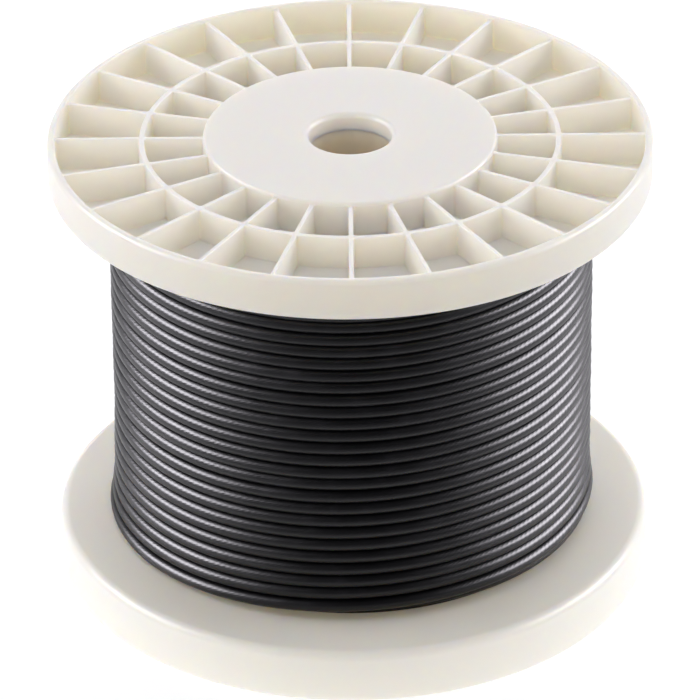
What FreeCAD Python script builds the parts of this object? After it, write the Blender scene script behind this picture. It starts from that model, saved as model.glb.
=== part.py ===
import FreeCAD, Part
import math
import os

import Sketcher

# A moulded wire spool that stands on its lower flange, with its axis on +Z and the floor at zero.
# Lengths are in millimetres and angles in degrees.

doc = FreeCAD.newDocument("WireSpool")

sizes = {
    # the whole spool
    "flange_diameter": 160.0,
    "spool_height": 127.0,
    "bore_diameter": 22.0,
    "barrel_diameter": 77.6,
    # the two flange mouldings, which differ only in how deep they are
    "lower_flange_thickness": 15.0,
    "upper_flange_thickness": 12.0,
    "web_thickness": 2.3,
    "rim_wall": 2.0,
    "mid_ring_diameter": 111.5,
    "mid_ring_wall": 1.4,
    "rib_count": 24,
    "rib_thickness": 1.15,
    "rib_drop": 0.9,
    "pocket_draft": 0.75,
    "hub_plate": 5.0,
    "face_edge_round": 1.5,
    "winding_edge_round": 2.4,
    "hub_edge_round": 0.8,
    "bore_lip_round": 0.85,
    # what locates the barrel and the arbor tube in a flange
    "hub_wall": 3.0,
    "tongue_length": 5.0,
    "tongue_wall": 2.0,
    "socket_depth": 6.0,
    "socket_wall": 2.0,
    "fit_clearance": 0.15,
    "lead_in": 0.6,
    # the tubes between the flanges
    "barrel_wall": 3.0,
    "arbor_wall": 2.75,
    # the wire
    "winding_diameter": 129.0,
    "wire_diameter": 3.6,
    "wire_clearance": 0.4,
    "least_turn_gap": 0.41,
    "most_loops": 24,
    "wire_hole_clearance": 1.2,
    "climb_radius": 30.0,
    "climb_angle": 50.0,
}

sheet = doc.addObject("Spreadsheet::Sheet", "Sizes")
for row, (alias, number) in enumerate(sizes.items(), start=1):
    sheet.set(f"A{row}", alias)
    sheet.set(f"B{row}", str(number))
    sheet.setAlias(f"B{row}", alias)
doc.recompute()

# Lengths that several pieces share, written once on the values of the sheet
flange_radius = "Sizes.flange_diameter / 2"
bore_radius = "Sizes.bore_diameter / 2"
barrel_radius = "Sizes.barrel_diameter / 2"
hub_inner_radius = f"{barrel_radius} - Sizes.hub_wall"
arbor_radius = f"{bore_radius} + Sizes.arbor_wall"
rim_inner_radius = f"{flange_radius} - Sizes.rim_wall"
mid_ring_radius = "Sizes.mid_ring_diameter / 2"
mid_ring_inner_radius = f"{mid_ring_radius} - Sizes.mid_ring_wall"
lower_seat = "Sizes.lower_flange_thickness"
upper_seat = "Sizes.spool_height - Sizes.upper_flange_thickness"
wire_radius = "Sizes.wire_diameter / 2"
turn_radius = f"Sizes.winding_diameter / 2 - {wire_radius}"
core_radius = f"{turn_radius} - {wire_radius} - Sizes.wire_clearance"
wire_hole_angle = "(floor(Sizes.rib_count / 4) - 0.5) * 360 / Sizes.rib_count"


def measured(expression):
    return float(sheet.evalExpression(expression))


# Sketches on the planes of their own body
def new_sketch(body, name, plane_role):
    sketch = body.newObject("Sketcher::SketchObject", name)
    plane = next(item for item in body.Origin.OriginFeatures if item.Role == plane_role)
    sketch.AttachmentSupport = (plane, [""])
    sketch.MapMode = "FlatFace"
    return sketch


def bind(sketch, constraint, expression):
    index = sketch.addConstraint(constraint)
    sketch.setExpression(f"Constraints[{index}]", expression)


def pin_point(sketch, kind, axis, line, value, expression):
    # a point at zero lies on the axis itself
    if value == 0:
        sketch.addConstraint(Sketcher.Constraint("PointOnObject", line, 1, axis))
    else:
        bind(sketch, Sketcher.Constraint(kind, -1, 1, line, 1, value), expression)


def draw_outline(sketch, corners):
    points = [FreeCAD.Vector(measured(across), measured(up), 0) for across, up in corners]
    ends = points[1:] + points[:1]
    for start, end in zip(points, ends):
        sketch.addGeometry(Part.LineSegment(start, end), False)
    for line in range(len(points)):
        after = (line + 1) % len(points)
        sketch.addConstraint(Sketcher.Constraint("Coincident", line, 2, after, 1))
    for line, (point, (across, up)) in enumerate(zip(points, corners)):
        pin_point(sketch, "DistanceX", -2, line, point.x, across)
        pin_point(sketch, "DistanceY", -1, line, point.y, up)


# A body turned about the spool's axis from an outline of radius and height
def turned_body(label, corners):
    body = doc.addObject("PartDesign::Body", label)
    body.Label = label
    sketch = new_sketch(body, f"{label}_outline", "XZ_Plane")
    draw_outline(sketch, corners)
    turned = body.newObject("PartDesign::Revolution", f"{label}_turned")
    turned.Profile = sketch
    turned.ReferenceAxis = (sketch, ["V_Axis"])
    turned.Angle = 360
    doc.recompute()
    return body


def round_edge(body, name, radius, height, size):
    base = body.Tip
    edges = []
    for number, edge in enumerate(base.Shape.Edges, start=1):
        if not isinstance(edge.Curve, Part.Circle):
            continue
        same_radius = abs(edge.Curve.Radius - measured(radius)) < 0.001
        same_height = abs(edge.Curve.Center.z - measured(height)) < 0.001
        if same_radius and same_height:
            edges.append(f"Edge{number}")
    rounding = body.newObject("PartDesign::Fillet", name)
    rounding.Base = (base, edges)
    rounding.Radius = measured(size)
    rounding.setExpression("Radius", size)
    doc.recompute()


# One tapered pocket between two ribs, two rings and the web, repeated round the axis
def cut_rib_pockets(body, name, inner, outer, thickness):
    rib_height = f"{thickness} - Sizes.web_thickness - Sizes.rib_drop"
    pitch = math.radians(measured("360 / Sizes.rib_count"))
    half_rib = measured("Sizes.rib_thickness / 2")
    centre = FreeCAD.Vector(0, 0, 0)
    up = FreeCAD.Vector(0, 0, 1)
    sketch = new_sketch(body, f"{name}_outline", "XY_Plane")
    sketch.setExpression("AttachmentOffset.Base.z", "Sizes.rib_drop")
    corners = []
    for radius in (measured(outer), measured(inner)):
        first = math.asin(half_rib / radius)
        last = pitch - first
        arc = Part.ArcOfCircle(Part.Circle(centre, up, radius), first, last)
        sketch.addGeometry(arc, False)
        corners.append((arc.StartPoint, arc.EndPoint))
    outer_arc, inner_arc, first_side, last_side = range(4)
    sketch.addGeometry(Part.LineSegment(corners[1][0], corners[0][0]), False)
    sketch.addGeometry(Part.LineSegment(corners[1][1], corners[0][1]), False)
    for arc in (outer_arc, inner_arc):
        sketch.addConstraint(Sketcher.Constraint("Coincident", arc, 3, -1, 1))
    sketch.addConstraint(Sketcher.Constraint("Coincident", first_side, 1, inner_arc, 1))
    sketch.addConstraint(Sketcher.Constraint("Coincident", first_side, 2, outer_arc, 1))
    sketch.addConstraint(Sketcher.Constraint("Coincident", last_side, 1, inner_arc, 2))
    sketch.addConstraint(Sketcher.Constraint("Coincident", last_side, 2, outer_arc, 2))
    bind(sketch, Sketcher.Constraint("Radius", outer_arc, measured(outer)), outer)
    bind(sketch, Sketcher.Constraint("Radius", inner_arc, measured(inner)), inner)
    sketch.addConstraint(Sketcher.Constraint("Horizontal", first_side))
    bind(sketch, Sketcher.Constraint("Angle", last_side, pitch), "360 deg / Sizes.rib_count")
    for side in (first_side, last_side):
        bind(sketch, Sketcher.Constraint("Distance", -1, 1, side, half_rib), "Sizes.rib_thickness / 2")

    before = body.Tip.Shape.Volume
    pocket = body.newObject("PartDesign::Pocket", name)
    pocket.Profile = sketch
    pocket.Reversed = True
    pocket.Length = measured(rib_height)
    pocket.setExpression("Length", rib_height)
    pocket.setExpression("TaperAngle", "-Sizes.pocket_draft")
    doc.recompute()
    if pocket.Shape.Volume >= before:
        raise RuntimeError(f"{name} cuts nothing")

    pattern = body.newObject("PartDesign::PolarPattern", f"{name}s")
    pattern.Originals = [pocket]
    pattern.Axis = (sketch, ["N_Axis"])
    pattern.Angle = 360
    pattern.setExpression("Occurrences", "Sizes.rib_count")
    body.Tip = pattern
    doc.recompute()


# The hole in the web where the wire's end is passed through
def cut_wire_hole(body, name, thickness):
    across = f"({turn_radius}) * cos({wire_hole_angle})"
    along = f"({turn_radius}) * sin({wire_hole_angle})"
    opening = f"{wire_radius} + Sizes.wire_hole_clearance"
    centre = FreeCAD.Vector(measured(across), measured(along), 0)
    sketch = new_sketch(body, f"{name}_outline", "XY_Plane")
    circle = Part.Circle(centre, FreeCAD.Vector(0, 0, 1), measured(opening))
    sketch.addGeometry(circle, False)
    bind(sketch, Sketcher.Constraint("DistanceX", -1, 1, 0, 3, centre.x), across)
    bind(sketch, Sketcher.Constraint("DistanceY", -1, 1, 0, 3, centre.y), along)
    bind(sketch, Sketcher.Constraint("Radius", 0, circle.Radius), opening)
    before = body.Tip.Shape.Volume
    hole = body.newObject("PartDesign::Pocket", name)
    hole.Profile = sketch
    hole.Reversed = True
    hole.Length = measured(thickness)
    hole.setExpression("Length", thickness)
    doc.recompute()
    if hole.Shape.Volume >= before:
        raise RuntimeError(f"{name} cuts nothing")


# A flange moulding, drawn as the lower one: its open face on the floor and its web above
def ribbed_flange(label, thickness):
    socket_radius = f"{arbor_radius} + Sizes.fit_clearance"
    socket_outer_radius = f"{socket_radius} + Sizes.socket_wall"
    socket_end = "Sizes.hub_plate + Sizes.socket_depth"
    body = turned_body(
        label,
        [
            (bore_radius, "0"),
            (barrel_radius, "0"),
            (barrel_radius, "Sizes.rib_drop"),
            (rim_inner_radius, "Sizes.rib_drop"),
            (rim_inner_radius, "0"),
            (flange_radius, "0"),
            (flange_radius, thickness),
            (hub_inner_radius, thickness),
            (hub_inner_radius, "Sizes.hub_plate"),
            (socket_outer_radius, "Sizes.hub_plate"),
            (socket_outer_radius, socket_end),
            (socket_radius, socket_end),
            (socket_radius, "Sizes.hub_plate"),
            (bore_radius, "Sizes.hub_plate"),
        ],
    )
    round_edge(body, f"{label}_face_edge", flange_radius, "0", "Sizes.face_edge_round")
    round_edge(body, f"{label}_winding_edge", flange_radius, thickness, "Sizes.winding_edge_round")
    round_edge(body, f"{label}_hub_edge", barrel_radius, "0", "Sizes.hub_edge_round")
    round_edge(body, f"{label}_bore_lip", bore_radius, "0", "Sizes.bore_lip_round")
    cut_rib_pockets(body, f"{label}_inner_pocket", barrel_radius, mid_ring_inner_radius, thickness)
    cut_rib_pockets(body, f"{label}_outer_pocket", mid_ring_radius, rim_inner_radius, thickness)
    cut_wire_hole(body, f"{label}_wire_hole", thickness)
    return body


lower_flange = ribbed_flange("lower_flange", "Sizes.lower_flange_thickness")

# The upper flange is turned over about the Y axis
upper_flange = ribbed_flange("upper_flange", "Sizes.upper_flange_thickness")
upper_flange.Placement = FreeCAD.Placement(
    FreeCAD.Vector(0, 0, measured("Sizes.spool_height")),
    FreeCAD.Rotation(FreeCAD.Vector(0, 1, 0), 180),
)
upper_flange.setExpression("Placement.Base.z", "Sizes.spool_height")

# The barrel butts on both webs, and a thinner tongue at each end plugs into the hub
barrel_inner_radius = f"{barrel_radius} - Sizes.barrel_wall"
tongue_radius = f"{hub_inner_radius} - Sizes.fit_clearance"
tongue_inner_radius = f"{tongue_radius} - Sizes.tongue_wall"
lower_tongue_end = f"{lower_seat} - Sizes.tongue_length"
upper_tongue_end = f"{upper_seat} + Sizes.tongue_length"
barrel = turned_body(
    "barrel",
    [
        (barrel_radius, lower_seat),
        (barrel_radius, upper_seat),
        (tongue_radius, upper_seat),
        (tongue_radius, f"{upper_tongue_end} - Sizes.lead_in"),
        (f"{tongue_radius} - Sizes.lead_in", upper_tongue_end),
        (tongue_inner_radius, upper_tongue_end),
        (tongue_inner_radius, f"{upper_seat} - Sizes.barrel_wall"),
        (barrel_inner_radius, f"{upper_seat} - 2 * Sizes.barrel_wall"),
        (barrel_inner_radius, f"{lower_seat} + 2 * Sizes.barrel_wall"),
        (tongue_inner_radius, f"{lower_seat} + Sizes.barrel_wall"),
        (tongue_inner_radius, lower_tongue_end),
        (f"{tongue_radius} - Sizes.lead_in", lower_tongue_end),
        (tongue_radius, f"{lower_tongue_end} + Sizes.lead_in"),
        (tongue_radius, lower_seat),
    ],
)

# The arbor tube carries on the bore between the two hub plates
arbor_tube = turned_body(
    "arbor_tube",
    [
        (bore_radius, "Sizes.hub_plate"),
        (f"{arbor_radius} - Sizes.lead_in", "Sizes.hub_plate"),
        (arbor_radius, "Sizes.hub_plate + Sizes.lead_in"),
        (arbor_radius, "Sizes.spool_height - Sizes.hub_plate - Sizes.lead_in"),
        (f"{arbor_radius} - Sizes.lead_in", "Sizes.spool_height - Sizes.hub_plate"),
        (bore_radius, "Sizes.spool_height - Sizes.hub_plate"),
    ],
)

# The route of the outer layer: a right-handed helix that ends in a bend up to the wire hole
wire = measured("Sizes.wire_diameter")
wire_clearance = measured("Sizes.wire_clearance")
helix_radius = measured(turn_radius)
lowest = measured(lower_seat) + wire_clearance + wire / 2
highest = measured(upper_seat) - wire_clearance - wire / 2
least_pitch = wire + measured("Sizes.least_turn_gap")
loops = min(int(measured("Sizes.most_loops")), int((highest - lowest) / least_pitch))
pitch = (highest - lowest) / loops
slope = math.atan2(pitch, 2 * math.pi * helix_radius)
upper_hole = math.radians(180 - measured(wire_hole_angle))
helix_start = upper_hole - math.atan2(wire, helix_radius)


def outward(angle):
    return FreeCAD.Vector(math.cos(angle), math.sin(angle), 0)


def onward(angle):
    level = math.cos(slope)
    return FreeCAD.Vector(-math.sin(angle) * level, math.cos(angle) * level, math.sin(slope))


def on_helix(turns):
    angle = helix_start + 2 * math.pi * turns
    point = outward(angle) * helix_radius + FreeCAD.Vector(0, 0, lowest + pitch * turns)
    return point, onward(angle)


# The arc from start to end whose two tangents meet at corner
def tangent_arc(start, corner, end):
    middle = (start + end) / 2
    half_chord = (end - start).Length / 2
    turn = math.atan2((corner - middle).Length, half_chord)
    sagitta = half_chord * math.tan(turn / 2)
    crest = middle + (corner - middle).normalize() * sagitta
    return Part.Arc(start, crest, end).toShape()


# Two arcs of equal tangents that join two points of the helix in their own directions
def biarc(turns, next_turns):
    start, start_way = on_helix(turns)
    end, end_way = on_helix(next_turns)
    chord = end - start
    ways = start_way + end_way
    square = ways.dot(ways) - 4
    linear = -2 * chord.dot(ways)
    constant = chord.dot(chord)
    reach = (-linear - math.sqrt(linear * linear - 4 * square * constant)) / (2 * square)
    near_corner = start + start_way * reach
    far_corner = end - end_way * reach
    joint = (near_corner + far_corner) / 2
    return [tangent_arc(start, near_corner, joint), tangent_arc(joint, far_corner, end)]


first_point, first_way = on_helix(0)
last_point, last_way = on_helix(loops)
tail_point = first_point - first_way * wire
bend_corner = last_point + last_way * wire
bend_way = FreeCAD.Vector(0, 0, 1)
bend_end = bend_corner + bend_way * wire
wire_end = bend_end + bend_way * wire
route = [Part.LineSegment(tail_point, first_point).toShape()]
for half_turn in range(2 * loops):
    route += biarc(half_turn / 2, (half_turn + 1) / 2)
route.append(tangent_arc(last_point, bend_corner, bend_end))
route.append(Part.LineSegment(bend_end, wire_end).toShape())
spine = Part.Wire(route)
section = Part.Wire(Part.Circle(tail_point, first_way, wire / 2).toShape())

outer_winding = doc.addObject("Part::Feature", "outer_winding")
outer_winding.Label = "outer_winding"
outer_winding.Shape = spine.makePipeShell([section], True, False)
outer_winding.Placement = FreeCAD.Placement()

# The least gap between neighbouring turns, measured on points along the route
points_per_turn = 72
track = [on_helix(step / points_per_turn)[0] for step in range(points_per_turn * loops + 1)]
track += [bend_end, wire_end]
least_gap = min(
    (track[near] - track[far]).Length - wire
    for near in range(len(track))
    for far in range(near + points_per_turn // 2, min(len(track), near + 3 * points_per_turn // 2))
)
print(f"{loops} loops of {wire} mm wire, pitch {pitch:.3f} mm, least gap between turns {least_gap:.3f} mm")
swept = math.pi * wire * wire / 4 * spine.Length
print(f"wire volume {outer_winding.Shape.Volume:.1f}, section times length {swept:.1f} cubic mm")

# The layers beneath, as one plain core, with the stretch of wire that climbs out of them
core = turned_body(
    "winding_core",
    [
        (f"{barrel_radius} + Sizes.fit_clearance", f"{lower_seat} + Sizes.wire_clearance"),
        (core_radius, f"{lower_seat} + Sizes.wire_clearance"),
        (core_radius, f"{upper_seat} - Sizes.wire_clearance"),
        (f"{barrel_radius} + Sizes.fit_clearance", f"{upper_seat} - Sizes.wire_clearance"),
    ],
)
climb = doc.addObject("Part::Torus", "winding_climb")
climb.setExpression("Radius1", "Sizes.climb_radius")
climb.setExpression("Radius2", wire_radius)
climb.setExpression("Angle3", "Sizes.climb_angle")
climb_out = outward(helix_start)
climb.Placement = FreeCAD.Placement(
    tail_point - climb_out * measured("Sizes.climb_radius"),
    FreeCAD.Rotation(climb_out, -first_way, climb_out.cross(-first_way), "XYZ"),
)
inner_winding = doc.addObject("Part::Fuse", "inner_winding")
inner_winding.Label = "inner_winding"
inner_winding.Base = core
inner_winding.Tool = climb
doc.recompute()

pieces = [upper_flange, lower_flange, barrel, arbor_tube, inner_winding, outer_winding]
for item in doc.Objects:
    if "Invalid" in item.State or "Error" in item.State:
        raise RuntimeError(f"{item.Label} failed: {item.State}")
for piece in pieces:
    if piece.Shape.isNull() or not piece.Shape.isValid():
        raise RuntimeError(f"{piece.Label} has no valid shape")

os.makedirs("parts", exist_ok=True)
for piece in pieces:
    piece.Shape.exportStep(f"parts/{piece.Label}.step")
    print(f"{piece.Label}: {len(piece.Shape.Solids)} solid, {piece.Shape.Volume:.0f} cubic mm")
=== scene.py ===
import math
import random

import bmesh
import bpy
from mathutils import Matrix, Vector


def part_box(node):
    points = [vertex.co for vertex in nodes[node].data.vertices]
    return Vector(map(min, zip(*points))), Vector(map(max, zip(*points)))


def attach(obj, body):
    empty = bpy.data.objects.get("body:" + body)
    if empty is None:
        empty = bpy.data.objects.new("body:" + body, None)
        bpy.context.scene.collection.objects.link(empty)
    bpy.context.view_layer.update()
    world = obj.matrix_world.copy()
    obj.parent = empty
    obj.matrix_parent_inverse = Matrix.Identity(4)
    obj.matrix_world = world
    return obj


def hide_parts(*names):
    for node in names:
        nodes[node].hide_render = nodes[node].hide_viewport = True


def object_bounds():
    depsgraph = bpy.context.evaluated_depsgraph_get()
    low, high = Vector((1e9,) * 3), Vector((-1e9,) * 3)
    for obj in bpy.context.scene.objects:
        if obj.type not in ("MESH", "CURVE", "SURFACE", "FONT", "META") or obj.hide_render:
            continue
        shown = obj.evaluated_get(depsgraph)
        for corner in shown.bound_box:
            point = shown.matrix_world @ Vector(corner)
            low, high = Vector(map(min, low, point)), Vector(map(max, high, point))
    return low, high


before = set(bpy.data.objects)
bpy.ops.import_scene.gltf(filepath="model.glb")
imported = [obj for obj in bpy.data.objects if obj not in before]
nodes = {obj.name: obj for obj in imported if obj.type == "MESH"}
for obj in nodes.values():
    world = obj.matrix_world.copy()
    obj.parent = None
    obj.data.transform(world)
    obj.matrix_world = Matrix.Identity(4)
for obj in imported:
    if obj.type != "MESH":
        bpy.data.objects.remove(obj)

mm = 0.001
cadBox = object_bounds()
spoolTop = cadBox[1].z
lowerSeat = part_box("lower_flange")[1].z
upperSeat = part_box("upper_flange")[0].z
scene = bpy.context.scene


# Shader sockets with arithmetic

class Signal:
    def __init__(self, tree, socket):
        self.tree = tree
        self.socket = socket

    def math(self, operation, other=None):
        node = self.tree.nodes.new("ShaderNodeMath")
        node.operation = operation
        plug(self.tree, self, node.inputs[0])
        if other is not None:
            plug(self.tree, other, node.inputs[1])
        return Signal(self.tree, node.outputs[0])

    def __add__(self, other):
        return self.math("ADD", other)

    def __mul__(self, other):
        return self.math("MULTIPLY", other)

    __radd__ = __add__
    __rmul__ = __mul__


def plug(tree, value, socket):
    if isinstance(value, Signal):
        tree.links.new(value.socket, socket)
    else:
        socket.default_value = value


class Nodes:
    def __init__(self, tree):
        self.tree = tree

    def node(self, kind, settings=None, output=0, **inputs):
        node = self.tree.nodes.new(kind)
        for name, value in (settings or {}).items():
            setattr(node, name, value)
        for name, value in inputs.items():
            plug(self.tree, value, node.inputs[name.replace("_", " ")])
        return Signal(self.tree, node.outputs[output])

    def coordinates(self, output="Object"):
        return self.node("ShaderNodeTexCoord", output=output)

    def part(self, vector, axis):
        return self.node("ShaderNodeSeparateXYZ", output=axis, Vector=vector)

    def noise(self, where, scale, detail):
        return self.node("ShaderNodeTexNoise", Vector=where, Scale=scale, Detail=detail)

    def smoothRange(self, value, low, high):
        return self.node("ShaderNodeMapRange", {"interpolation_type": "SMOOTHSTEP"}, Value=value,
                         From_Min=low, From_Max=high)

    def mixColours(self, amount, first, second):
        node = self.tree.nodes.new("ShaderNodeMix")
        node.data_type = "RGBA"
        plug(self.tree, amount, node.inputs[0])
        plug(self.tree, first, node.inputs[6])
        plug(self.tree, second, node.inputs[7])
        return Signal(self.tree, node.outputs[2])


class Surface(Nodes):
    def __init__(self, name, **shader):
        self.material = bpy.data.materials.new(name)
        self.material.use_nodes = True
        super().__init__(self.material.node_tree)
        self.shader = self.tree.nodes["Principled BSDF"]
        for socket, value in shader.items():
            self.shader.inputs[socket.replace("_", " ")].default_value = value

    def feed(self, socket, value):
        plug(self.tree, value, self.shader.inputs[socket])

    def bump(self, height, distance):
        self.feed("Normal", self.node("ShaderNodeBump", Height=height, Distance=distance))


# Ivory moulded plastic

ivoryLook = {
    "base": (0.93, 0.885, 0.795, 1),
    "cooler patches": (0.92, 0.88, 0.81, 1),
    "patch scale": 28,
    "shine": 0.16,
    "refraction": 1.49,
    "roughness": 0.36,
    "roughness spread": 0.1,
    "milkiness": 0.8,
    "light depth": 3.5 * mm,
    "light depth by colour": (1.0, 0.8, 0.5),
    "grain scale": 900,
    "grain height": 0.003 * mm,
}


def makeIvory(name, look):
    surface = Surface(name, Roughness=look["roughness"], IOR=look["refraction"],
                      Specular_IOR_Level=look["shine"], Subsurface_Weight=look["milkiness"],
                      Subsurface_Scale=look["light depth"], Subsurface_Radius=look["light depth by colour"])
    place = surface.coordinates()
    patches = surface.noise(place, look["patch scale"], detail=4)
    surface.feed("Base Color", surface.mixColours(patches, look["base"], look["cooler patches"]))
    grain = surface.noise(place, look["grain scale"], detail=2)
    spread = look["roughness spread"]
    surface.feed("Roughness", look["roughness"] - spread / 2 + spread * grain)
    surface.bump(grain, look["grain height"])
    return surface.material


# Black wire insulation, thin enough for the strands of its core to show as fine slanting ridges

insulationLook = {
    "base": (0.002, 0.002, 0.0026, 1),
    "scuffed": (0.007, 0.0067, 0.009, 1),
    "scuff scale": 140,
    "scuff range": (0.5, 0.8),
    "scuff dullness": 0.14,
    "roughness": 0.29,
    "refraction": 1.42,
    "ridge height": 0.008 * mm,
    "ridges around": 12,
    "lay length": 20 * mm,
    "wobble": 0.6,  # noise added to the sine of the ridges
    "wobble scale": 700,
}


def makeInsulation(name, wireLength=None):
    look = insulationLook
    surface = Surface(name, Roughness=look["roughness"], IOR=look["refraction"])
    place = surface.coordinates()
    scuffs = surface.noise(place, look["scuff scale"], detail=5)
    worn = surface.smoothRange(scuffs, *look["scuff range"])
    surface.feed("Base Color", surface.mixColours(worn, look["base"], look["scuffed"]))
    surface.feed("Roughness", look["roughness"] + look["scuff dullness"] * scuffs)
    if wireLength:
        mapped = surface.coordinates("UV")
        along = surface.part(mapped, "X") * (wireLength / look["lay length"])
        around = surface.part(mapped, "Y")
        ridges = ((along + around) * (2 * math.pi * look["ridges around"])).math("SINE")
        wobble = look["wobble"] * surface.noise(place, look["wobble scale"], detail=2)
        surface.bump(ridges + wobble, look["ridge height"])
    return surface.material


ivory = makeIvory("ivoryPlastic", ivoryLook)
print("ivory plastic made")


# Meshes become pieces that ride on the spool

creaseAngle = math.radians(40)


def smoothShade(mesh):
    mesh.shade_smooth()
    mesh.set_sharp_from_angle(angle=creaseAngle)


def addObject(name, bm):
    mesh = bpy.data.meshes.new(name)
    bm.to_mesh(mesh)
    bm.free()
    item = bpy.data.objects.new(name, mesh)
    scene.collection.objects.link(item)
    return item


def addPiece(name, bm, material, replaced):
    bmesh.ops.recalc_face_normals(bm, faces=bm.faces)
    piece = addObject(name, bm)
    piece.data.materials.append(material)
    smoothShade(piece.data)
    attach(piece, "root")
    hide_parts(replaced)
    return piece


# A ribbed flange, modelled in millimetres with its open face up at height zero

flange = {
    "radius": 80,
    "web": 2.3,
    "rim inner radius": 78,
    "mid ring radius": 55.75,
    "mid ring wall": 1.4,
    "hub radius": 38.8,
    "hub wall": 3,
    "hub plate": 5,
    "bore radius": 11,
    "rib drop": 0.9,
    "ribs": 24,
    "rib thickness": 1.15,
    "edge rounding": 0.26,
    "floor fillet": 0.35,
    "draft": math.radians(0.75),
    "steps per rib": 10,
    "pocket corner": (0.85, 4),  # rounding and its segments, here and down to the bore lip
    "face edge": (1.5, 5),
    "winding edge": (2.4, 7),
    "rim inner edge": (0.35, 3),
    "hub edge": (0.8, 4),
    "bore lip": (1.5, 6),
    "wire hole radius": 3,
    "wire hole sides": 32,
    "wire hole place": (62.7, 5.5),  # radius, and how many ribs round from the X axis
}


def addCopy(bm, other):
    mesh = bpy.data.meshes.new("copy")
    other.to_mesh(mesh)
    bm.from_mesh(mesh)
    bpy.data.meshes.remove(mesh)


def turnOutline(bm, outline, steps):
    verts = [bm.verts.new((radius, 0, height)) for radius, height in outline]
    edges = [bm.edges.new((start, end)) for start, end in zip(verts, verts[1:])]
    bmesh.ops.spin(bm, geom=verts + edges, cent=(0, 0, 0), axis=(0, 0, 1), dvec=(0, 0, 0),
                   angle=2 * math.pi, steps=steps, use_merge=True, use_duplicate=False)


def roundRing(bm, radius, height, rounding):
    near = 0.02
    size, segments = rounding
    ring = [edge for edge in bm.edges
            if all(abs(v.co.xy.length - radius) < near and abs(v.co.z - height) < near for v in edge.verts)]
    bmesh.ops.bevel(bm, geom=ring, offset=size, offset_type="OFFSET", affect="EDGES",
                    segments=segments, profile=0.5, material=-1, clamp_overlap=True)


# One flat face between two ribs and two rings, at the height of the rib tops
def makeWedge(part, inner, outer, halfRib):
    bm = bmesh.new()
    pitch = 2 * math.pi / part["ribs"]
    bmesh.ops.create_grid(bm, x_segments=part["steps per rib"], y_segments=1, size=0.5)
    for vert in bm.verts:
        radius = inner if vert.co.y < 0 else outer
        angle = pitch / 2 - (pitch - 2 * math.asin(halfRib / radius)) * vert.co.x
        vert.co = (radius * math.cos(angle), radius * math.sin(angle), -part["rib drop"])
    bmesh.ops.dissolve_faces(bm, faces=bm.faces[:], use_verts=False)
    return bm


def cornerAngle(vert):
    first, second = [edge.other_vert(vert).co - vert.co for edge in vert.link_edges]
    return first.angle(second)


# A pocket between two ribs, sunk from its outline to the web
def makePocket(part, thickness, inner, outer):
    edge = part["edge rounding"]
    fillet = part["floor fillet"]
    bm = makeWedge(part, inner, outer, part["rib thickness"] / 2 - edge)
    widestCorner = 2  # radians; a point along an arc has nearly pi
    corners = [vert for vert in bm.verts if cornerAngle(vert) < widestCorner]
    size, segments = part["pocket corner"]
    bmesh.ops.bevel(bm, geom=corners, offset=size, offset_type="OFFSET", affect="VERTICES",
                    segments=segments, profile=0.5, material=-1, clamp_overlap=True)
    floor = bm.faces[:]

    def sink(sideways, down):
        bmesh.ops.inset_region(bm, faces=floor, thickness=sideways, depth=-down, use_boundary=True,
                               use_even_offset=True)

    turns = [math.radians(angle) for angle in (0, 30, 60, 90)]
    for before, after in zip(turns, turns[1:]):
        sink(edge * (math.sin(after) - math.sin(before)), edge * (math.cos(before) - math.cos(after)))
    wall = thickness - part["web"] - part["rib drop"] - edge - fillet
    sink(wall * math.tan(part["draft"]), wall)
    for before, after in zip(turns, turns[1:]):
        sink(fillet * (math.cos(before) - math.cos(after)), fillet * (math.sin(after) - math.sin(before)))
    return bm


# Against the hub and the rim a pocket's wall runs straight up into theirs, with no rounded edge
def straightenWall(bm, part, wall, towards):
    edge = part["edge rounding"]
    reach = 3  # how far from the wall the outline gives way
    kept = 0.12  # share of the rounding's width that stays
    for vert in bm.verts:
        gap = (vert.co.xy.length - wall) * towards
        if 0 < gap < reach:
            pulled = (1 - kept) * edge * (reach - gap) / (reach - edge)
            newGap = kept * gap if gap < edge else gap - pulled
            vert.co.xy = vert.co.xy.normalized() * (wall + newGap * towards)


# The pockets of one sector and the rib tops round them
def makeSector(part, thickness):
    edge = part["edge rounding"]
    ledge = 0.05  # left between a pocket and the wall beside it
    hub, rim = part["hub radius"], part["rim inner radius"]
    midOuter = part["mid ring radius"]
    midInner = midOuter - part["mid ring wall"]
    inside = makePocket(part, thickness, hub + ledge, midInner + edge)
    straightenWall(inside, part, hub + ledge, 1)
    outside = makePocket(part, thickness, midOuter - edge, rim - ledge)
    straightenWall(outside, part, rim - ledge, -1)
    bm = makeWedge(part, hub, rim, 0)
    bmesh.ops.delete(bm, geom=bm.faces[:], context="FACES_ONLY")
    for pocket in (inside, outside):
        addCopy(bm, pocket)
        pocket.free()
    bmesh.ops.triangle_fill(bm, edges=[item for item in bm.edges if len(item.link_faces) < 2],
                            use_beauty=True, normal=(0, 0, 1))
    return bm


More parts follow.
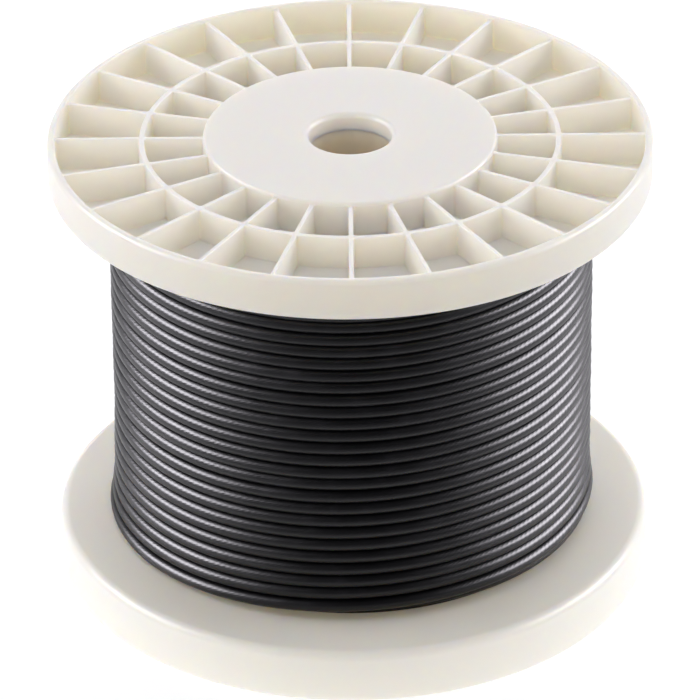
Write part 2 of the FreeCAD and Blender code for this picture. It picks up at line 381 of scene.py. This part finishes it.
def makeFlange(part, thickness):
    bm = bmesh.new()
    ribTop = -part["rib drop"]
    hubInner = part["hub radius"] - part["hub wall"]
    outline = [
        (part["rim inner radius"], ribTop),
        (part["rim inner radius"], 0),
        (part["radius"], 0),
        (part["radius"], -thickness),
        (hubInner, -thickness),
        (hubInner, -part["hub plate"]),
        (part["bore radius"], -part["hub plate"]),
        (part["bore radius"], 0),
        (part["hub radius"], 0),
        (part["hub radius"], ribTop),
    ]
    turnOutline(bm, outline, part["ribs"] * part["steps per rib"])
    roundRing(bm, part["radius"], 0, part["face edge"])
    roundRing(bm, part["radius"], -thickness, part["winding edge"])
    roundRing(bm, part["rim inner radius"], 0, part["rim inner edge"])
    roundRing(bm, part["hub radius"], 0, part["hub edge"])
    roundRing(bm, part["bore radius"], 0, part["bore lip"])

    sector = makeSector(part, thickness)
    for _ in range(part["ribs"]):
        addCopy(bm, sector)
        bmesh.ops.rotate(sector, verts=sector.verts, cent=(0, 0, 0),
                         matrix=Matrix.Rotation(2 * math.pi / part["ribs"], 3, "Z"))
    sector.free()
    seamGap = 0.002
    bmesh.ops.remove_doubles(bm, verts=bm.verts, dist=seamGap)
    bmesh.ops.scale(bm, verts=bm.verts, vec=(mm, mm, mm))
    return bm


# Cuts a flange's hole for the wire's end, up through its web
def drillHole(piece, part, centre, low, high):
    bm = bmesh.new()
    radius = part["wire hole radius"] * mm
    bmesh.ops.create_cone(bm, cap_ends=True, segments=part["wire hole sides"], radius1=radius,
                          radius2=radius, depth=high - low)
    bmesh.ops.translate(bm, verts=bm.verts, vec=(centre.x, centre.y, (low + high) / 2))
    drill = addObject("drill", bm)
    cut = piece.modifiers.new("wireHole", "BOOLEAN")
    cut.operation = "DIFFERENCE"
    cut.solver = "EXACT"
    cut.object = drill
    bpy.context.view_layer.update()
    evaluated = piece.evaluated_get(bpy.context.evaluated_depsgraph_get())
    drilled = bpy.data.meshes.new_from_object(evaluated)
    piece.modifiers.clear()
    piece.data = drilled
    bpy.data.objects.remove(drill)
    smoothShade(drilled)


# Keeps the flat faces of a smooth-shaded piece flat
def addFlatShading(piece):
    weighted = piece.modifiers.new("flatFaces", "WEIGHTED_NORMAL")
    weighted.mode = "FACE_AREA"
    weighted.weight = 80
    weighted.keep_sharp = True


holeRadius, holeRibs = flange["wire hole place"]
holeAngle = holeRibs * 2 * math.pi / flange["ribs"]
lowerHole = Vector((math.cos(holeAngle), math.sin(holeAngle))) * holeRadius * mm
upperHole = Vector((-lowerHole.x, lowerHole.y))
drillPast = 2 * mm  # past the web at one end, and short of the face at the other

upper = makeFlange(flange, (spoolTop - upperSeat) / mm)
bmesh.ops.translate(upper, verts=upper.verts, vec=(0, 0, spoolTop))
upperFlange = addPiece("upperFlange", upper, ivory, "upper_flange")
drillHole(upperFlange, flange, upperHole, upperSeat - drillPast, spoolTop - drillPast)

lower = makeFlange(flange, lowerSeat / mm)
bmesh.ops.rotate(lower, verts=lower.verts, cent=(0, 0, 0), matrix=Matrix.Rotation(math.pi, 3, "Y"))
lowerFlange = addPiece("lowerFlange", lower, ivory, "lower_flange")
drillHole(lowerFlange, flange, lowerHole, drillPast, lowerSeat + drillPast)

for piece in (upperFlange, lowerFlange):
    addFlatShading(piece)
print("flanges made")


# The outer layer of wire: one length that leaves the layers beneath, winds up the spool
# in close turns, and bends up through the hole in the upper flange

bendRadius = 3.6 * mm
winding = {
    "turns": 26,
    "wire radius": 1.8 * mm,
    "centre radius": holeRadius * mm,
    "end clearance": 0.4 * mm,
    "least clearance": 0.06 * mm,
    # The end of the whole turns has the start's angle, and the bend from there comes up in the hole
    "start": math.atan2(upperHole.y, upperHole.x) - math.atan2(bendRadius, holeRadius * mm),
    "turns before start": 0.65,  # where the wire climbs out of the layer beneath
    "climb": 4.2 * mm,
    "bend radius": bendRadius,
    "straight end": 3.6 * mm,
    "steps per turn": 96,
    "bend steps": 8,
    "sides": 18,
    "crowding": 1.0 * mm,  # turns lie a little further apart low down than high up
    "lean": (1.65 * mm, 0.3 * mm),  # rise to the right, for the lowest and highest turn
    "droop": (-0.35 * mm, 0.45 * mm),  # of the front and back against the sides, for the same turns
    "bulge": 0.8 * mm,  # slack of the lower turns on the left
    "bulge fade": 2.8,  # the slack is gone at 1 over this of the turns
    "flare": 1.3 * mm,  # slack of the lowest turns on both sides
    "flared turns": 4,
    "flare shares": (-0.4, 1),  # of the flare, at the front and back and at the sides
    "held turns": (0.3, 0.8),  # at the start and the end, where the lay doesn't stray
    "unevenness": 0.3 * mm,
    "unevenness waves": (0.37, 0.229, 0.463, 0.081),
    "ripple": 0.05 * mm,
    "ripple waves": (1.31, 2.17, 0.71),
    "looseness": 0.1 * mm,
    "looseness waves": (0.41, 1.83, 3.1, 0.19),
    "seed": 11,
}


# A gentle wander along the wire, from waves that come so many times a turn
def makeWander(seed, waves):
    dice = random.Random(seed)
    phases = [(rate, dice.uniform(0, 2 * math.pi), dice.uniform(0.6, 1.0)) for rate in waves]

    def wander(turns):
        swings = [size * math.sin(2 * math.pi * rate * turns + phase) for rate, phase, size in phases]
        return sum(swings) / len(swings)
    return wander


def blend(pair, share):
    return pair[0] + (pair[1] - pair[0]) * share


def ease(value):
    value = min(1, max(0, value))
    return value * value * (3 - 2 * value)


# The wire's centre line, as points with the angle round the spool where each lies
def routeWire(part):
    low = lowerSeat + part["end clearance"] + part["wire radius"]
    high = upperSeat - part["end clearance"] - part["wire radius"]
    spacing = makeWander(part["seed"], part["unevenness waves"])
    ripple = makeWander(part["seed"] + 1, part["ripple waves"])
    depth = makeWander(part["seed"] + 2, part["looseness waves"])
    heldFirst, heldLast = part["held turns"]

    def centreAt(turns):
        angle = part["start"] + 2 * math.pi * turns
        share = max(0, turns / part["turns"])
        free = ease(turns / heldFirst) * ease((part["turns"] - turns) / heldLast)
        sway = blend(part["lean"], share) * math.cos(angle)
        sway += blend(part["droop"], share) * math.cos(2 * angle)
        sway += part["unevenness"] * spacing(turns) + part["ripple"] * ripple(turns)
        height = blend((low, high), share) + part["crowding"] * (1 - (2 * share - 1) ** 4) + free * sway
        height = max(height, lowerSeat + part["wire radius"] + part["least clearance"])
        slack = part["bulge"] * max(0, 1 - part["bulge fade"] * share) * (1 - math.cos(angle)) / 2
        flared = max(0, 1 - max(0, turns) / part["flared turns"]) ** 2
        slack += part["flare"] * flared * blend(part["flare shares"], math.cos(angle) ** 2)
        radius = part["centre radius"] + slack + free * part["looseness"] * depth(turns)
        radius -= part["climb"] * ease(-turns / part["turns before start"])
        return Vector((radius * math.cos(angle), radius * math.sin(angle), height)), angle

    before = round(part["turns before start"] * part["steps per turn"])
    steps = range(-before, part["turns"] * part["steps per turn"] + 1)
    route = [centreAt(step / part["steps per turn"]) for step in steps]

    # The bend up through the flange's web
    last, angle = route[-1]
    onward = (last - route[-2][0]).normalized()
    level = math.asin(onward.z)
    flat = Vector((onward.x, onward.y, 0)).normalized()
    bend = part["bend radius"]
    for step in range(1, part["bend steps"] + 1):
        turn = blend((level, math.pi / 2), step / part["bend steps"])
        point = last + flat * bend * (math.sin(turn) - math.sin(level))
        point.z += bend * (math.cos(level) - math.cos(turn))
        route.append((point, angle))
    route.append((route[-1][0] + Vector((0, 0, part["straight end"])), angle))
    return route


# Turns the flat strip of a grid into the wire, so its UV map runs along and around it
def makeWinding(part):
    route = routeWire(part)
    last = len(route) - 1
    along = [0]
    for index in range(last):
        along.append(along[-1] + (route[index + 1][0] - route[index][0]).length)

    bm = bmesh.new()
    layer = bm.loops.layers.uv.new("UVMap")
    bmesh.ops.create_grid(bm, x_segments=last, y_segments=part["sides"], size=0.5, calc_uvs=True)
    for face in bm.faces:
        for corner in face.loops:
            corner[layer].uv.x = along[round(corner[layer].uv.x * last)] / along[-1]
    for vert in bm.verts:
        index = round((vert.co.x + 0.5) * last)
        around = (vert.co.y + 0.5) * 2 * math.pi
        centre, angle = route[index]
        onward = route[min(last, index + 1)][0] - route[max(0, index - 1)][0]
        outward = Vector((math.cos(angle), math.sin(angle), 0))
        across = onward.normalized().cross(outward).normalized()
        vert.co = centre - part["wire radius"] * (outward * math.cos(around) + across * math.sin(around))
    seamGap = 0.0005 * mm
    bmesh.ops.remove_doubles(bm, verts=bm.verts, dist=seamGap)
    bmesh.ops.holes_fill(bm, edges=[edge for edge in bm.edges if edge.is_boundary], sides=0)
    return bm, along[-1]


wire, wireLength = makeWinding(winding)
insulation = makeInsulation("strandedInsulation", wireLength)
addPiece("outerWinding", wire, insulation, "outer_winding")
print("winding made, wire", round(wireLength, 3), "m")


# The tube is set warmer and darker than the other ivory pieces: painted shade, for the warm shade deep in
# the bore

tubeBoreShadeLook = dict(ivoryLook)
# painted shade: a warmer, darker base and patches that stand in for the shade and warm bounce light inside
# the bore
tubeBoreShadeLook["base"] = (0.9, 0.79, 0.61, 1)
tubeBoreShadeLook["cooler patches"] = (0.89, 0.79, 0.63, 1)
for name, material in (("arbor_tube", makeIvory("warmIvoryBoreShade", tubeBoreShadeLook)), ("barrel", ivory)):
    nodes[name].data.materials.clear()
    nodes[name].data.materials.append(material)
nodes["inner_winding"].data.materials.clear()
nodes["inner_winding"].data.materials.append(makeInsulation("plainInsulation"))


# Floor, light and camera

stage = {
    "floor size": 4,
    "floor colour": (0.45, 0.45, 0.45, 1),
    "floor roughness": 0.7,
    "glow": (0.62, 0.62, 0.62, 1),
    "glow far off": (0.03, 0.03, 0.03, 1),
    "glow centre": (0, 0.4, 0),
    "glow reach": (0.488, 0.57),
    "horizon": (0.2, 0.195, 0.21, 1),
    "ceiling": (0.02, 0.02, 0.021, 1),
    "dark above": 0.4,
}


# A pale floor with a soft pool of light round the spool
def addStage():
    bm = bmesh.new()
    bmesh.ops.create_grid(bm, x_segments=1, y_segments=1, size=stage["floor size"] / 2)
    floor = addObject("floor", bm)
    surface = Surface("paleFloor", Roughness=stage["floor roughness"], Base_Color=stage["floor colour"],
                      Emission_Strength=1)
    centred = surface.node("ShaderNodeMapping", Vector=surface.coordinates(),
                           Location=[-value for value in stage["glow centre"]])
    distance = surface.node("ShaderNodeVectorMath", {"operation": "LENGTH"}, output=1, Vector=centred)
    surface.feed("Emission Color", surface.mixColours(surface.smoothRange(distance, *stage["glow reach"]),
                                                      stage["glow"], stage["glow far off"]))
    floor.data.materials.append(surface.material)


# Broad lights that reflections leave out, and two that only reflections show, for the wire's streaks

daylight = (0.93, 0.93, 1.0)
lights = {
    "left": {"azimuth": -97, "elevation": 24, "distance": 1.1, "size": (0.85, 0.65), "radiance": 2.5},
    "right": {"azimuth": 97, "elevation": 24, "distance": 1.1, "size": (0.85, 0.65), "radiance": 2.8},
    "back": {"azimuth": 180, "elevation": 30, "distance": 1.2, "size": (1.3, 0.6), "radiance": 3.6},
    "rightBack": {"azimuth": 140, "elevation": 24, "distance": 1.2, "size": (0.8, 0.6), "radiance": 1.4},
    "leftBack": {"azimuth": -140, "elevation": 24, "distance": 1.2, "size": (0.8, 0.6), "radiance": 0.8},
    "leftFront": {"azimuth": -48, "elevation": 22, "distance": 1.2, "size": (0.8, 0.6), "radiance": 1.35},
    "rightFront": {"azimuth": 48, "elevation": 22, "distance": 1.2, "size": (0.8, 0.6), "radiance": 0.5},
    "front": {"azimuth": 0, "elevation": 18, "distance": 1.2, "size": (1.3, 0.5), "radiance": 1.5,
              "tint": (1.0, 0.96, 0.95)},
    "top": {"azimuth": 0, "elevation": 82, "distance": 1.2, "size": (1.0, 1.0), "radiance": 1.35},
    "leftStreak": {"azimuth": -90, "elevation": 24, "distance": 1.2, "size": (1.0, 0.6), "radiance": 28,
                   "hidden from": "visible_diffuse", "tint": (0.96, 0.93, 1.0)},
    "rightStreak": {"azimuth": 98, "elevation": 24, "distance": 1.2, "size": (1.05, 0.6), "radiance": 28,
                    "hidden from": "visible_diffuse", "tint": (0.96, 0.93, 1.0)},
}


# Soft boxes that face the middle of the spool, azimuth 0 being the photograph's side
def addLight(name, look):
    lamp = bpy.data.lights.new(name, "AREA")
    lamp.shape = "RECTANGLE"
    lamp.size, lamp.size_y = look["size"]
    lamp.energy = look["radiance"] * math.pi * lamp.size * lamp.size_y
    lamp.color = look.get("tint", daylight)
    holder = bpy.data.objects.new(name, lamp)
    azimuth, elevation = math.radians(look["azimuth"]), math.radians(look["elevation"])
    out = Vector((math.sin(azimuth) * math.cos(elevation), -math.cos(azimuth) * math.cos(elevation),
                  math.sin(elevation)))
    holder.location = Vector((0, 0, spoolTop / 2)) + out * look["distance"]
    holder.rotation_mode = "QUATERNION"
    holder.rotation_quaternion = out.to_track_quat("Z", "Y")
    setattr(holder, look.get("hidden from", "visible_glossy"), False)
    scene.collection.objects.link(holder)


# A grey room that darkens overhead
def addWorld():
    world = bpy.data.worlds.new("greyRoom")
    world.use_nodes = True
    nodeMaker = Nodes(world.node_tree)
    height = nodeMaker.part(nodeMaker.coordinates("Generated"), "Z")
    shade = nodeMaker.mixColours(nodeMaker.smoothRange(height, 0.0, stage["dark above"]), stage["horizon"],
                                 stage["ceiling"])
    plug(world.node_tree, shade, world.node_tree.nodes["Background"].inputs["Color"])
    scene.world = world


# The photograph's camera, from a fit to the spool's edges in it, with its angles in radians

photoView = {
    "elevation": 0.523215,
    "distance": 1.5117,
    "focal pixels": 5608.4,
    "centre pixel": (352.08, 341.28),
    "roll": 0.00951,
    "image pixels": 700,
    "sensor width": 36,
    "clip": (0.05, 20),
}


def addCamera(view):
    lens = bpy.data.cameras.new("photoCamera")
    lens.sensor_width = view["sensor width"]
    lens.lens = view["focal pixels"] / view["image pixels"] * lens.sensor_width
    lens.clip_start, lens.clip_end = view["clip"]
    holder = bpy.data.objects.new("photoCamera", lens)
    scene.collection.objects.link(holder)
    middle = Vector((0, 0, spoolTop / 2))
    back = Vector((0, -math.cos(view["elevation"]), math.sin(view["elevation"])))
    facing = back.to_track_quat("Z", "Y").to_matrix().to_4x4()
    roll = Matrix.Rotation(-view["roll"], 4, "Z")
    half = view["image pixels"] / 2
    across, down = view["centre pixel"]
    sideways = math.atan((across - half) / view["focal pixels"])
    upwards = math.atan((half - down) / view["focal pixels"])
    nudge = Matrix.Rotation(sideways, 4, "Y") @ Matrix.Rotation(-upwards, 4, "X")
    holder.matrix_world = Matrix.Translation(middle + back * view["distance"]) @ facing @ roll @ nudge
    scene.camera = holder


addStage()
for name, look in lights.items():
    addLight(name, look)
addWorld()
addCamera(photoView)
scene.view_settings.view_transform = "Standard"
print("stage, light and camera made")
